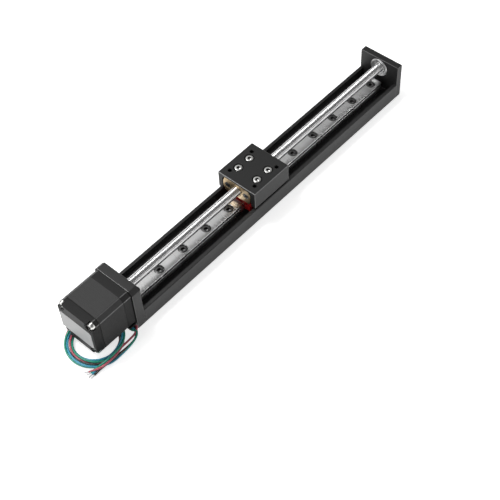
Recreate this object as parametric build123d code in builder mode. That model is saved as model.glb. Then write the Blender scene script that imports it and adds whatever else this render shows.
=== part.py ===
"""Motor driven lead screw slide: a carriage on a miniature ball rail, inside a U-shaped base channel.

+X runs along the slide from the motor to the end plate, +Y to the left of that, +Z up.
The origin is at the middle of the length and the width, on the surface that the slide stands on.
All sizes are in millimetres.
"""

import math
import os

from build123d import *

# Base channel and the plates at its two ends
slide_width = 30.0
channel_length = 235.5
channel_height = 11.5
floor_thickness = 3.0
wall_thickness = 2.3
corner_rib = 3.0
edge_break = 0.4
end_plate_thickness = 4.5
end_plate_rim = 0.8
mount_plate_thickness = 6.0
mount_plate_rise = 0.2
mount_plate_corner = 2.5
plate_screw_pitch = 24.0
plate_screw_height = 3.2
plate_screw_grip = 8.0
plate_screw_sink = 2.7
base_hole_radius = 2.0
base_hole_pitch_x = 180.0
base_hole_pitch_y = 20.0

# Lead screw and its bearings
screw_radius = 3.0
journal_radius = 2.5
screw_passage_radius = 4.5
bearing_radius = 6.5
end_bearing_width = 5.0
motor_bearing_width = 4.0
bearing_ring = 1.2
bearing_ball_count = 8
shield_thickness = 0.3
shield_gap = 0.3
shield_inset = 0.2

# Rail and guide block
rail_width = 9.0
rail_height = 6.5
rail_pitch = 20.0
rail_end_margin = 6.0
rail_start_gap = 1.2
rail_bore_radius = 1.75
rail_counterbore_radius = 3.0
rail_counterbore_depth = 3.5
ball_radius = 0.75
ball_groove_gap = 0.1
ball_row_height = 4.2
balls_per_row = 9
block_width = 20.0
block_steel_length = 19.3
block_height = 10.0
block_lift = 2.2
block_thread_depth = 3.5
cap_length = 4.0
cap_inset = 0.4
seal_thickness = 0.8
seal_gap = 0.15

# Carriage
carriage_length = 31.0
carriage_width = 29.6
carriage_roof = 1.4
carriage_position = 110.75
carriage_screw_pitch_x = 10.0
carriage_screw_pitch_y = 15.0
carriage_counterbore_depth = 3.2
carriage_counterbore_gap = 0.25
mount_hole_radius = 1.5
mount_hole_pitch = 20.0
mount_hole_depth = 5.0
recess_corner = 2.5
recess_side_gap = 0.4
recess_top_gap = 0.1

# Lead nut
nut_flange_radius = 11.0
nut_flange_thickness = 3.0
nut_flat_height = 10.8
nut_body_radius = 5.0
nut_body_length = 14.0
nut_wall = 0.7
nut_screw_pitch = 14.5
nut_screw_grip = 4.0

# Motor
motor_width = 28.2
motor_corner = 2.6
motor_ground_gap = 4.6
front_cap_length = 6.0
rear_cap_length = 6.0
stack_length = 17.6
cap_cavity_radius = 11.6
cap_cavity_depth = 2.0
pilot_radius = 11.0
pilot_height = 1.8
front_bearing_wall = 0.6
case_screw_edge = 2.6
case_screw_grip = 2.0
mount_screw_grip = 3.5
pocket_radius = 3.0
pocket_depth = 3.0
pole_count = 8
stator_bore_radius = 7.3
pole_shoe = 1.1
pole_width = 2.2
yoke_inner_radius = 11.4
slot_opening = 1.2
coil_wall = 0.8
coil_overhang = 1.4
coil_gap = 0.3
air_gap = 0.3
rotor_cup_length = 7.2
magnet_length = 2.0
magnet_step = 1.0
washer_thickness = 0.3
washer_play = 0.1
label_width = 25.2
label_height = 14.4
label_thickness = 0.3
label_shift_y = 0.6
label_shift_z = -1.2
label_corner = 1.2

# Screws: thread radius, head radius and head height of each size
m3_radius = 1.5
m3_head_radius = 2.75
m3_head_height = 3.0
small_radius = 1.25
small_head_radius = 2.25
small_head_height = 2.5
hole_spare = 0.5

# Motor leads, four thin wires that run together; points count from the ground below the motor's front
bundle_radius = 1.3
outlet_length = 5.0
outlet_depth = 6.0
outlet_inset = 0.3
outlet_drop = 1.9
coil_centre = (-21.3, -3.0)
coil_mean_radius = 16.8
coil_section_width = 6.8
coil_section_height = 2.6
exit_route = [(-2.8, -14.1, 3.2), (-4.2, -21.6, 1.5), (-13.1, -21.2, 1.3)]
tail_route = [(-27.0, -19.2, 1.3), (-40.5, -16.4, 1.3)]

# Flat sides of round shapes that are small, hidden or many, which get fewer faces than the real ones
shank_sides = 8
head_sides = 12
ring_sides = 16

# Clearances: radial play of a seated round face, of a turning fit, and between sliding faces
seat_gap = 0.02
running_gap = 0.05
sliding_gap = 0.3

# Places along X that follow from the sizes
motor_length = front_cap_length + stack_length + rear_cap_length
total_length = motor_length + mount_plate_thickness + channel_length + end_plate_thickness
motor_rear = -total_length / 2
stack_rear = motor_rear + rear_cap_length
stack_front = stack_rear + stack_length
motor_front = stack_front + front_cap_length
channel_start = motor_front + mount_plate_thickness
channel_end = channel_start + channel_length
slide_end = channel_end + end_plate_thickness
channel_middle = (channel_start + channel_end) / 2
rail_hole_count = math.floor((channel_length - rail_start_gap - 2 * rail_end_margin) / rail_pitch) + 1
rail_length = (rail_hole_count - 1) * rail_pitch + 2 * rail_end_margin
rail_start = channel_start + rail_start_gap
carriage_middle = channel_start + carriage_position
carriage_rear = carriage_middle - carriage_length / 2
block_rear = carriage_middle - block_steel_length / 2
block_front = carriage_middle + block_steel_length / 2
end_bearing_start = slide_end - end_bearing_width
front_bearing_start = motor_front - motor_bearing_width - front_bearing_wall
rear_bearing_start = stack_rear - motor_bearing_width
screw_step = front_bearing_start + motor_bearing_width
rotor_start = (stack_rear + stack_front) / 2 - rotor_cup_length - magnet_length / 2
magnet_start = rotor_start + rotor_cup_length

# Heights that follow from the sizes
rail_top = floor_thickness + rail_height
block_bottom = floor_thickness + block_lift
block_top = floor_thickness + block_height
screw_height = max(block_top + nut_wall + nut_body_radius, motor_width / 2 + motor_ground_gap)
end_plate_height = screw_height + bearing_radius + end_plate_rim
mount_plate_height = screw_height + motor_width / 2 + mount_plate_rise
motor_bottom = screw_height - motor_width / 2
ball_row_z = floor_thickness + ball_row_height
ball_row_y = rail_width / 2 + ball_radius / 3
recess_top = screw_height + nut_flat_height / 2 + recess_top_gap
carriage_top = recess_top + carriage_roof
carriage_thickness = carriage_top - block_top

# Radii and depths that follow from the sizes
outer_race = bearing_radius - bearing_ring
screw_bore = screw_radius + seat_gap
screw_race = screw_bore + bearing_ring
journal_bore = journal_radius + seat_gap
journal_race = journal_bore + bearing_ring
rotor_radius = stator_bore_radius - air_gap
shoe_radius = stator_bore_radius + pole_shoe
countersink_depth = small_head_radius - small_radius
case_screw_pitch = motor_width - 2 * case_screw_edge

# Centres, as (Y, Z) on planes across the slide
plate_screw_centres = [(side * plate_screw_pitch / 2, plate_screw_height) for side in (-1, 1)]
case_screw_centres = [
    (y * case_screw_pitch / 2, screw_height + z * case_screw_pitch / 2) for y in (-1, 1) for z in (-1, 1)
]
nut_screw_centres = [(side * nut_screw_pitch / 2, screw_height) for side in (-1, 1)]
screw_axis = [(0, screw_height)]

BOTTOM = (Align.CENTER, Align.CENTER, Align.MIN)


def corners(x, pitch_x, pitch_y):
    """Four places (X, Y) at the corners of a rectangle about x on the slide's middle line."""
    return [(x + i * pitch_x / 2, j * pitch_y / 2) for i in (-1, 1) for j in (-1, 1)]


rail_screw_places = [(rail_start + rail_end_margin + k * rail_pitch, 0) for k in range(rail_hole_count)]
base_hole_places = corners(channel_middle, base_hole_pitch_x, base_hole_pitch_y)
carriage_screw_places = corners(carriage_middle, carriage_screw_pitch_x, carriage_screw_pitch_y)
mount_hole_places = corners(carriage_middle, mount_hole_pitch, mount_hole_pitch)


def across(x):
    """The plane across the slide at x: its first axis is +Y, its second +Z and its normal +X."""
    return Plane.YZ.offset(x)


def about_axis(x):
    """The same plane, with its origin on the screw's axis."""
    return Plane(origin=(x, 0, screw_height), x_dir=(0, 1, 0), z_dir=(1, 0, 0))


def rounding(radius, sides):
    """A circle in the current sketch, or where sides isn't 0 a regular polygon inside that circle."""
    if sides:
        RegularPolygon(radius, sides)
    else:
        Circle(radius)


def cut_round(x, centres, radius, depth, sides=0):
    """Cut round holes from the plane across the slide at x, towards +X, or -X if depth is negative."""
    with BuildSketch(across(x)) as outline:
        with Locations(*centres):
            rounding(radius, sides)
    extrude(outline.sketch, amount=depth, mode=Mode.SUBTRACT)


def cut_down(z, places, radius, depth, sides=0):
    """Cut round holes down from the height z at places given as (X, Y)."""
    with BuildSketch(Plane.XY.offset(z)) as outline:
        with Locations(*places):
            rounding(radius, sides)
    extrude(outline.sketch, amount=-depth, mode=Mode.SUBTRACT)


def add_round(x, centres, radius, length):
    """Add round bars from the plane across the slide at x, towards +X, or -X if length is negative."""
    with BuildSketch(across(x)) as outline:
        with Locations(*centres):
            Circle(radius)
    extrude(outline.sketch, amount=length)


def cap_screw(radius, shank, head_radius, head_height):
    """A screw on its seat at z = 0, its shank pointing down."""
    with BuildPart() as screw:
        with BuildSketch():
            RegularPolygon(head_radius, head_sides)
        extrude(amount=head_height)
        with BuildSketch():
            RegularPolygon(radius, shank_sides)
        extrude(amount=-shank)
    return screw.part


def along_x(x, centres, heading):
    """Locations on the plane across the slide at x, turned so that local +Z is heading times +X."""
    return [Location((x, y, z), (0, 90 * heading, 0)) for y, z in centres]


def countersunk_screw(shank, gap=0.0):
    """A countersunk screw, its head's top at z = 0, made larger all round by gap to cut its own hole."""
    with BuildPart() as screw:
        with BuildSketch() as head:
            RegularPolygon(small_head_radius + gap, shank_sides)
        with BuildSketch(Plane.XY.offset(-countersink_depth)) as neck:
            RegularPolygon(small_radius + gap, shank_sides)
        loft([head.sketch, neck.sketch])
        extrude(neck.sketch, amount=countersink_depth - shank)
    return screw.part


def upright(z, places):
    """Locations at the height z, at places given as (X, Y)."""
    return [Location((x, y, z)) for x, y in places]


def keep(node, name):
    """Label a finished piece and write it to its own file."""
    node.part.label = name
    export_step(node.part, f"parts/{name}.step")


def ring(x, width, outer, inner, sides=0):
    """A plain ring round the screw's axis, from x towards +X."""
    with BuildPart() as hoop:
        with BuildSketch(about_axis(x)):
            if sides:
                RegularPolygon(outer, sides)
                RegularPolygon(inner, sides, major_radius=False, mode=Mode.SUBTRACT)
            else:
                Circle(outer)
                Circle(inner, mode=Mode.SUBTRACT)
        extrude(amount=width)
    return hoop.part


def faceted_ball(radius):
    """A ball drawn with ten flat faces, because it is hidden and there are many."""
    with BuildPart() as ball:
        Box(2 * radius, 2 * radius, 2 * radius)
        Box(2 * radius, 2 * radius, 2 * radius, rotation=(45, 0, 0), mode=Mode.INTERSECT)
    return ball.part


def ball_circle(x, inner_race):
    """The balls of a bearing round the screw's axis, centred at x."""
    ball = faceted_ball((outer_race - inner_race) / 2 - running_gap)
    with BuildPart() as balls:
        with Locations(about_axis(x)):
            with PolarLocations((outer_race + inner_race) / 2, bearing_ball_count):
                add(ball)
    return balls.part


def tube(route, radius):
    """A round tube along straight runs joined by arcs as large as the runs allow, and the arcs' radii."""
    points = [Vector(*point) for point in route]
    radii = []
    for before, corner, after in zip(points, points[1:], points[2:]):
        turn = math.radians((corner - before).get_angle(after - corner))
        shorter = min((corner - before).length, (after - corner).length)
        radii.append(0.45 * shorter / math.tan(turn / 2))
    with BuildPart() as hose:
        with BuildLine() as path:
            if radii:
                FilletPolyline(*route, radius=radii)
            else:
                Line(*route)
        with BuildSketch(Plane(origin=path.line @ 0, z_dir=path.line % 0)):
            Circle(radius)
        sweep()
    return hose.part, radii, path.wire().length


# Base

def build_base_channel():
    with BuildPart() as base_channel:
        with BuildSketch(across(channel_start)):
            with BuildLine():
                outer = slide_width / 2
                inner = outer - wall_thickness
                Polyline(
                    (0, 0),
                    (outer - edge_break, 0),
                    (outer, edge_break),
                    (outer, channel_height - edge_break),
                    (outer - edge_break, channel_height),
                    (inner, channel_height),
                    (inner, floor_thickness + corner_rib),
                    (inner - corner_rib, floor_thickness),
                    (0, floor_thickness),
                    close=True,
                )
            make_face()
            mirror(about=Plane.YZ)
        extrude(amount=channel_length)
        cut_down(floor_thickness, rail_screw_places, m3_radius + seat_gap, floor_thickness, shank_sides)
        cut_down(floor_thickness, base_hole_places, base_hole_radius, floor_thickness)
        thread = small_radius + seat_gap
        cut_round(channel_start, plate_screw_centres, thread, plate_screw_grip, shank_sides)
        cut_round(channel_end, plate_screw_centres, thread, -plate_screw_grip, shank_sides)
    keep(base_channel, "base_channel")


def plate_blank(x, thickness, height):
    """A flat plate across the slide, as wide as the slide and standing on the ground."""
    with BuildPart() as blank:
        with BuildSketch(across(x)):
            with Locations((0, height / 2)):
                Rectangle(slide_width, height)
        extrude(amount=thickness)
    return blank.part


def build_end_plate():
    blank = plate_blank(channel_end, end_plate_thickness, end_plate_height)
    with BuildPart() as end_plate:
        add(blank)
        chamfer(end_plate.faces().sort_by(Axis.X)[-1].edges(), edge_break)
        chamfer(end_plate.faces().sort_by(Axis.Z)[-1].edges().filter_by(Axis.X), edge_break)
        cut_round(channel_end, screw_axis, bearing_radius + seat_gap, end_plate_thickness)
        thread = small_radius + seat_gap
        head = small_head_radius + seat_gap
        cut_round(channel_end, plate_screw_centres, thread, end_plate_thickness, shank_sides)
        cut_round(slide_end, plate_screw_centres, head, -plate_screw_sink, head_sides)
    keep(end_plate, "end_plate")


def build_motor_mount_plate():
    blank = plate_blank(motor_front, mount_plate_thickness, mount_plate_height)
    with BuildPart() as motor_mount_plate:
        add(blank)
        top_corners = motor_mount_plate.edges().filter_by(Axis.X).group_by(Axis.Z)[-1]
        chamfer(top_corners, mount_plate_corner)
        rear = motor_mount_plate.faces().sort_by(Axis.X)[0]
        chamfer(rear.edges().filter_by(Axis.Y, reverse=True), edge_break)
        cut_round(motor_front, screw_axis, pilot_radius + seat_gap, pilot_height + seat_gap)
        cut_round(motor_front, screw_axis, screw_passage_radius, mount_plate_thickness)
        thread = small_radius + seat_gap
        head = small_head_radius + seat_gap
        cut_round(motor_front, case_screw_centres, thread, mount_plate_thickness, shank_sides)
        cut_round(channel_start, case_screw_centres, head, -plate_screw_sink, head_sides)
        cut_round(motor_front, plate_screw_centres, thread, mount_plate_thickness, shank_sides)
        cut_round(motor_front, plate_screw_centres, head, plate_screw_sink, head_sides)
    keep(motor_mount_plate, "motor_mount_plate")


def screw_group(name, screw, locations):
    """One node that holds a copy of a screw at each location."""
    with BuildPart() as group:
        with Locations(*locations):
            add(screw)
    keep(group, name)


def build_plate_screws():
    head = (small_head_radius, small_head_height)
    mount_shank = mount_plate_thickness - plate_screw_sink + plate_screw_grip - hole_spare
    screw = cap_screw(small_radius, mount_shank, *head)
    places = along_x(motor_front + plate_screw_sink, plate_screw_centres, -1)
    screw_group("mount_plate_screws", screw, places)
    end_shank = end_plate_thickness - plate_screw_sink + plate_screw_grip - hole_spare
    screw = cap_screw(small_radius, end_shank, *head)
    places = along_x(slide_end - plate_screw_sink, plate_screw_centres, 1)
    screw_group("end_plate_screws", screw, places)


def build_linear_rail():
    with BuildPart() as linear_rail:
        with BuildSketch(across(rail_start)) as profile:
            with Locations((0, floor_thickness + rail_height / 2)):
                Rectangle(rail_width, rail_height)
            top_corners = profile.vertices().group_by(Axis.Z)[-1]
            chamfer(top_corners, edge_break)
            with Locations((ball_row_y, ball_row_z), (-ball_row_y, ball_row_z)):
                Circle(ball_radius + ball_groove_gap, mode=Mode.SUBTRACT)
        extrude(amount=rail_length)
        cut_down(rail_top, rail_screw_places, rail_bore_radius, rail_height, shank_sides)
        cut_down(
            rail_top, rail_screw_places, rail_counterbore_radius, rail_counterbore_depth, head_sides
        )
    keep(linear_rail, "linear_rail")


def build_rail_screws():
    shank = rail_height - rail_counterbore_depth + floor_thickness
    screw = cap_screw(m3_radius, shank, m3_head_radius, m3_head_height)
    seat = rail_top - rail_counterbore_depth
    screw_group("rail_screws", screw, upright(seat, rail_screw_places))


# Guide block, on the rail

def block_section(x, width, bottom, top, slot_gap):
    """The outline of a piece that straddles the rail, on the plane across the slide at x."""
    with BuildSketch(across(x)) as section:
        with Locations((0, (bottom + top) / 2)):
            Rectangle(width, top - bottom)
        with Locations((0, rail_top + slot_gap)):
            Rectangle(
                rail_width + 2 * slot_gap,
                rail_height,
                align=(Align.CENTER, Align.MAX),
                mode=Mode.SUBTRACT,
            )
    return section.sketch


def build_guide_block():
    section = block_section(block_rear, block_width, block_bottom, block_top, sliding_gap)
    with BuildPart() as guide_block:
        extrude(section, amount=block_steel_length)
        chamfer(guide_block.edges().filter_by(Axis.X).group_by(Axis.Z)[-1], edge_break)
        rows = [(ball_row_y, ball_row_z), (-ball_row_y, ball_row_z)]
        cut_round(block_rear, rows, ball_radius + ball_groove_gap, block_steel_length)
        thread = m3_radius + seat_gap
        cut_down(block_top, carriage_screw_places, thread, block_thread_depth, shank_sides)
    keep(guide_block, "guide_block")


def build_guide_balls():
    step = (block_steel_length - 2 * ball_radius) / balls_per_row
    ball = faceted_ball(ball_radius)
    with BuildPart() as guide_balls:
        with Locations((carriage_middle, 0, ball_row_z)):
            with GridLocations(step, 2 * ball_row_y, balls_per_row, 2):
                add(ball)
    keep(guide_balls, "guide_balls")


def build_end_cap(name, x, outward):
    """A moulded end cap against the steel block at x, on the side that outward points to."""
    width = block_width - 2 * cap_inset
    section = block_section(x, width, block_bottom, block_top - cap_inset, sliding_gap)
    with BuildPart() as end_cap:
        extrude(section, amount=outward * cap_length)
        fillet(end_cap.edges().filter_by(Axis.X).group_by(Axis.Z)[-1], 2 * edge_break)
    keep(end_cap, name)


def build_end_seals():
    width = block_width - 4 * cap_inset
    top = block_top - 3 * cap_inset
    places = [(block_rear - cap_length, -seal_thickness), (block_front + cap_length, seal_thickness)]
    with BuildPart() as block_end_seals:
        for x, depth in places:
            extrude(block_section(x, width, block_bottom, top, seal_gap), amount=depth)
    keep(block_end_seals, "block_end_seals")


# Carriage and nut

def build_carriage():
    with BuildPart() as carriage:
        with Locations((carriage_middle, 0, block_top)):
            Box(carriage_length, carriage_width, carriage_thickness, align=BOTTOM)
        chamfer(carriage.edges(), edge_break)
        with BuildSketch(across(carriage_rear)) as recess:
            with Locations((0, recess_top)):
                width = 2 * (nut_flange_radius + recess_side_gap)
                Rectangle(width, carriage_thickness, align=(Align.CENTER, Align.MAX))
            fillet(recess.vertices().group_by(Axis.Z)[-1], recess_corner)
        extrude(amount=nut_flange_thickness, mode=Mode.SUBTRACT)
        cut_round(carriage_rear, screw_axis, nut_body_radius + seat_gap, carriage_length)
        nut_seat = carriage_rear + nut_flange_thickness
        cut_round(nut_seat, nut_screw_centres, small_radius + seat_gap, nut_screw_grip, shank_sides)
        thread = m3_radius + seat_gap
        head = m3_head_radius + carriage_counterbore_gap
        cut_down(carriage_top, carriage_screw_places, thread, carriage_thickness, shank_sides)
        cut_down(carriage_top, carriage_screw_places, head, carriage_counterbore_depth, head_sides)
        cut_down(carriage_top, mount_hole_places, mount_hole_radius, mount_hole_depth)
    keep(carriage, "carriage")


def build_carriage_screws():
    shank = carriage_thickness - carriage_counterbore_depth + block_thread_depth - hole_spare
    screw = cap_screw(m3_radius, shank, m3_head_radius, m3_head_height)
    seat = carriage_top - carriage_counterbore_depth
    screw_group("carriage_screws", screw, upright(seat, carriage_screw_places))


def build_lead_nut():
    screw_hole = countersunk_screw(nut_flange_thickness, seat_gap)
    with BuildPart() as lead_nut:
        with BuildSketch(across(carriage_rear)):
            with Locations((0, screw_height)):
                Circle(nut_flange_radius)
                Rectangle(2 * nut_flange_radius, nut_flat_height, mode=Mode.INTERSECT)
        extrude(amount=nut_flange_thickness)
        body_start = carriage_rear + nut_flange_thickness
        add_round(body_start, screw_axis, nut_body_radius, nut_body_length)
        length = nut_flange_thickness + nut_body_length
        cut_round(carriage_rear, screw_axis, screw_radius + running_gap, length)
        with Locations(*along_x(carriage_rear, nut_screw_centres, -1)):
            add(screw_hole, mode=Mode.SUBTRACT)
    keep(lead_nut, "lead_nut")


def build_nut_screws():
    screw = countersunk_screw(nut_flange_thickness + nut_screw_grip - hole_spare)
    screw_group("nut_screws", screw, along_x(carriage_rear, nut_screw_centres, -1))


# Lead screw and bearings

def build_lead_screw():
    with BuildPart() as lead_screw:
        add_round(screw_step, screw_axis, screw_radius, slide_end - edge_break - screw_step)
        add_round(rear_bearing_start, screw_axis, journal_radius, screw_step - rear_bearing_start)
        chamfer(lead_screw.faces().sort_by(Axis.X)[-1].edges(), edge_break)
    keep(lead_screw, "lead_screw")


def build_rings(name, starts, width, outer, inner, sides=0):
    """One node of plain rings round the screw's axis, each from one of the starts towards +X."""
    hoops = [ring(x, width, outer, inner, sides) for x in starts]
    with BuildPart() as rings:
        for hoop in hoops:
            add(hoop)
    keep(rings, name)


def build_bearing_balls(name, bearing_middles, inner_race):
    """One node of the balls of every bearing whose middle is listed."""
    sets = [ball_circle(x, inner_race) for x in bearing_middles]
    with BuildPart() as bearing_balls:
        for balls in sets:
            add(balls)
    keep(bearing_balls, name)


# Motor

def motor_section(x):
    """The motor's square outline with its corners cut, on the plane across the slide at x."""
    with BuildSketch(about_axis(x)) as section:
        Rectangle(motor_width, motor_width)
        chamfer(section.vertices(), motor_corner)
    return section.sketch


def build_motor_front_cap():
    section = motor_section(stack_front)
    with BuildPart() as motor_front_cap:
        extrude(section, amount=front_cap_length)
        chamfer(motor_front_cap.faces().sort_by(Axis.X)[-1].edges(), edge_break)
        add_round(motor_front, screw_axis, pilot_radius, pilot_height)
        cut_round(stack_front, screw_axis, cap_cavity_radius, cap_cavity_depth)
        cut_round(stack_front, screw_axis, bearing_radius + seat_gap, screw_step - stack_front)
        cut_round(stack_front, screw_axis, screw_passage_radius, front_cap_length + pilot_height)
        thread = small_radius + seat_gap
        cut_round(stack_front, case_screw_centres, thread, front_cap_length, shank_sides)
    keep(motor_front_cap, "motor_front_cap")


def build_motor_rear_cap():
    section = motor_section(motor_rear)
    with BuildPart() as motor_rear_cap:
        extrude(section, amount=rear_cap_length)
        chamfer(motor_rear_cap.faces().sort_by(Axis.X)[0].edges(), edge_break)
        thread = small_radius + seat_gap
        cut_round(motor_rear, case_screw_centres, pocket_radius, pocket_depth, head_sides)
        cut_round(motor_rear, case_screw_centres, thread, rear_cap_length, shank_sides)
        cut_round(stack_rear, screw_axis, cap_cavity_radius, -cap_cavity_depth)
        seat_depth = motor_bearing_width + washer_thickness
        cut_round(stack_rear, screw_axis, bearing_radius + seat_gap, -seat_depth)
        extrude(label_outline(motor_rear), amount=label_thickness, mode=Mode.SUBTRACT)
    keep(motor_rear_cap, "motor_rear_cap")


def label_outline(x):
    """The outline of the plate on the motor's rear face, on the plane across the slide at x."""
    with BuildSketch(across(x)) as outline:
        with Locations((label_shift_y, screw_height + label_shift_z)):
            Rectangle(label_width, label_height)
        chamfer(outline.vertices(), label_corner)
    return outline.sketch


def build_motor_label():
    outline = label_outline(motor_rear)
    with BuildPart() as motor_label:
        extrude(outline, amount=label_thickness)
    keep(motor_label, "motor_label")


def build_motor_stator():
    with BuildPart() as motor_stator:
        with BuildSketch(about_axis(stack_rear)) as section:
            Rectangle(motor_width, motor_width)
            chamfer(section.vertices(), motor_corner)
            Circle(yoke_inner_radius, mode=Mode.SUBTRACT)
            Circle(shoe_radius)
            with PolarLocations((shoe_radius + yoke_inner_radius) / 2, pole_count):
                Rectangle(yoke_inner_radius - shoe_radius + pole_shoe, pole_width)
            Circle(stator_bore_radius, mode=Mode.SUBTRACT)
            with PolarLocations(shoe_radius, pole_count, start_angle=180 / pole_count):
                Rectangle(3 * pole_shoe, slot_opening, mode=Mode.SUBTRACT)
            with GridLocations(case_screw_pitch, case_screw_pitch, 2, 2):
                RegularPolygon(small_radius + seat_gap, shank_sides, mode=Mode.SUBTRACT)
        extrude(amount=stack_length)
    keep(motor_stator, "motor_stator")


def build_motor_windings():
    coil_inner = pole_width + 2 * seat_gap
    coil_outer = coil_inner + 2 * coil_wall
    inner_radius = shoe_radius + coil_gap
    depth = yoke_inner_radius - coil_gap - inner_radius
    with BuildPart() as motor_windings:
        with Locations(about_axis((stack_rear + stack_front) / 2)):
            with PolarLocations(inner_radius + depth / 2, pole_count):
                Box(depth, coil_outer, stack_length + 2 * coil_overhang)
            with PolarLocations(inner_radius + depth / 2, pole_count):
                Box(2 * depth, coil_inner, stack_length + 2 * seat_gap, mode=Mode.SUBTRACT)
    keep(motor_windings, "motor_windings")


def build_motor_case_screws():
    shank = rear_cap_length - pocket_depth + stack_length + case_screw_grip
    screw = cap_screw(small_radius, shank, small_head_radius, small_head_height)
    places = along_x(motor_rear + pocket_depth, case_screw_centres, -1)
    screw_group("motor_case_screws", screw, places)


def build_motor_mount_screws():
    shank = mount_plate_thickness - plate_screw_sink + mount_screw_grip
    screw = cap_screw(small_radius, shank, small_head_radius, small_head_height)
    places = along_x(channel_start - plate_screw_sink, case_screw_centres, 1)
    screw_group("motor_mount_screws", screw, places)


# Motor leads

def build_lead_outlet():
    middle = motor_front - outlet_inset - outlet_length / 2
    with BuildPart() as lead_outlet:
        with Locations((middle, -motor_width / 2, motor_bottom)):
            Box(outlet_length, outlet_depth, outlet_drop, align=(Align.CENTER, Align.MIN, Align.MAX))
        fillet(lead_outlet.edges().filter_by(Axis.Y).group_by(Axis.Z)[0], 3 * edge_break)
    keep(lead_outlet, "lead_outlet")


def build_leads():
    for name, route in (("lead_exit_run", exit_route), ("lead_tail", tail_route)):
        placed = [(motor_front + x, y, z) for x, y, z in route]
        hose, radii, length = tube(placed, bundle_radius)
        with BuildPart() as run:
            add(hose)
        keep(run, name)
        volume = math.pi * bundle_radius**2 * length
        print(name, "radii", [round(r, 2) for r in radii], "length", round(length, 2))
        print(name, "volume", round(run.part.volume, 2), "section times length", round(volume, 2))
    coil_x = motor_front + coil_centre[0]
    coil_y = coil_centre[1]
    with BuildPart() as lead_coil:
        with BuildSketch(Plane.XZ.offset(-coil_y)):
            with Locations((coil_x + coil_mean_radius, coil_section_height / 2)):
                Rectangle(coil_section_width, coil_section_height)
        revolve(axis=Axis((coil_x, coil_y, 0), (0, 0, 1)))
    keep(lead_coil, "lead_coil")


os.makedirs("parts", exist_ok=True)
build_base_channel()
build_end_plate()
build_motor_mount_plate()
build_plate_screws()
build_linear_rail()
build_rail_screws()
build_guide_block()
build_guide_balls()
build_end_cap("block_end_cap_rear", block_rear, -1)
build_end_cap("block_end_cap_front", block_front, 1)
build_end_seals()
build_carriage()
build_carriage_screws()
build_lead_nut()
build_nut_screws()
build_lead_screw()
build_rings("end_bearing_outer_ring", [end_bearing_start], end_bearing_width, bearing_radius, outer_race)
build_rings("end_bearing_inner_ring", [end_bearing_start], end_bearing_width, screw_race, screw_bore)
build_bearing_balls("end_bearing_balls", [end_bearing_start + end_bearing_width / 2], screw_race)
build_rings(
    "end_bearing_shields",
    [end_bearing_start + shield_inset, slide_end - shield_inset - shield_thickness],
    shield_thickness,
    outer_race,
    screw_race + shield_gap,
    ring_sides,
)
build_motor_front_cap()
build_motor_rear_cap()
build_motor_label()
build_motor_stator()
build_motor_windings()
build_motor_case_screws()
build_motor_mount_screws()
motor_bearings = [rear_bearing_start, front_bearing_start]
motor_bearing_middles = [x + motor_bearing_width / 2 for x in motor_bearings]
bearing_size = (motor_bearing_width, bearing_radius, outer_race)
build_rings("motor_bearing_outer_rings", motor_bearings, *bearing_size, ring_sides)
bearing_size = (motor_bearing_width, journal_race, journal_bore)
build_rings("motor_bearing_inner_rings", motor_bearings, *bearing_size, ring_sides)
build_bearing_balls("motor_bearing_balls", motor_bearing_middles, journal_race)
cup_starts = [rotor_start, magnet_start + magnet_length]
build_rings("rotor_cups", cup_starts, rotor_cup_length, rotor_radius, journal_bore, ring_sides)
magnet_radius = rotor_radius - magnet_step
build_rings("rotor_magnet", [magnet_start], magnet_length, magnet_radius, journal_bore, ring_sides)
washer_radius = bearing_radius - washer_play
washer_start = rear_bearing_start - washer_thickness
build_rings("motor_wave_washer", [washer_start], washer_thickness, washer_radius, outer_race, ring_sides)
build_lead_outlet()
build_leads()
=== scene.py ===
"""Looks of the motor driven lead screw slide, dressed over the CAD frame.

Everything is in metres in the frame of the CAD: +X from the motor to the end plate, +Y to the left
of that, +Z up, and the ground at z = 0. MM turns millimetres into metres.
"""

import math

import bmesh
import bpy
from mathutils import Matrix, Vector


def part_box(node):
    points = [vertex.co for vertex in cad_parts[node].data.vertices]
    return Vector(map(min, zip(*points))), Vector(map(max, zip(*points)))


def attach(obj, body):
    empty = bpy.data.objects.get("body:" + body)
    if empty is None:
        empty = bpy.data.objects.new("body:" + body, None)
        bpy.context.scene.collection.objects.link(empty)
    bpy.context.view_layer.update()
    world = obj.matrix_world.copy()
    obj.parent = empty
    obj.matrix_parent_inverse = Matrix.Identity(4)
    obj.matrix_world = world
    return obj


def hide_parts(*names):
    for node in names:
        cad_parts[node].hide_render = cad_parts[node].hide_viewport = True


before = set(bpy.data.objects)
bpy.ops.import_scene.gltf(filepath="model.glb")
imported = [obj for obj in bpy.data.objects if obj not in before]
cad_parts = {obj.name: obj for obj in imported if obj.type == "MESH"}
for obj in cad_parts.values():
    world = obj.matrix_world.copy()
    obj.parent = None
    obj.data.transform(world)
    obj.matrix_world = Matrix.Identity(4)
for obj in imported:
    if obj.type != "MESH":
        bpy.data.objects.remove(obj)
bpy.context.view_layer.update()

MM = 0.001

# Places and sizes read from the frame
plate_low, plate_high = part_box("motor_mount_plate")
end_low, end_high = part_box("end_plate")
rail_low, rail_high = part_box("linear_rail")
carriage_low, carriage_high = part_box("carriage")
block_low, block_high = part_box("guide_block")
cap_rear_low, cap_rear_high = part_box("block_end_cap_rear")
cap_front_low, cap_front_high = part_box("block_end_cap_front")
nut_low, nut_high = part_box("lead_nut")
screw_low, screw_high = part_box("lead_screw")
front_cap_low, front_cap_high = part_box("motor_front_cap")
rear_cap_low, rear_cap_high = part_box("motor_rear_cap")
stator_low, stator_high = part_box("motor_stator")
label_low, label_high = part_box("motor_label")
outlet_low, outlet_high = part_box("lead_outlet")
bearing_low, bearing_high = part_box("end_bearing_outer_ring")

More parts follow.
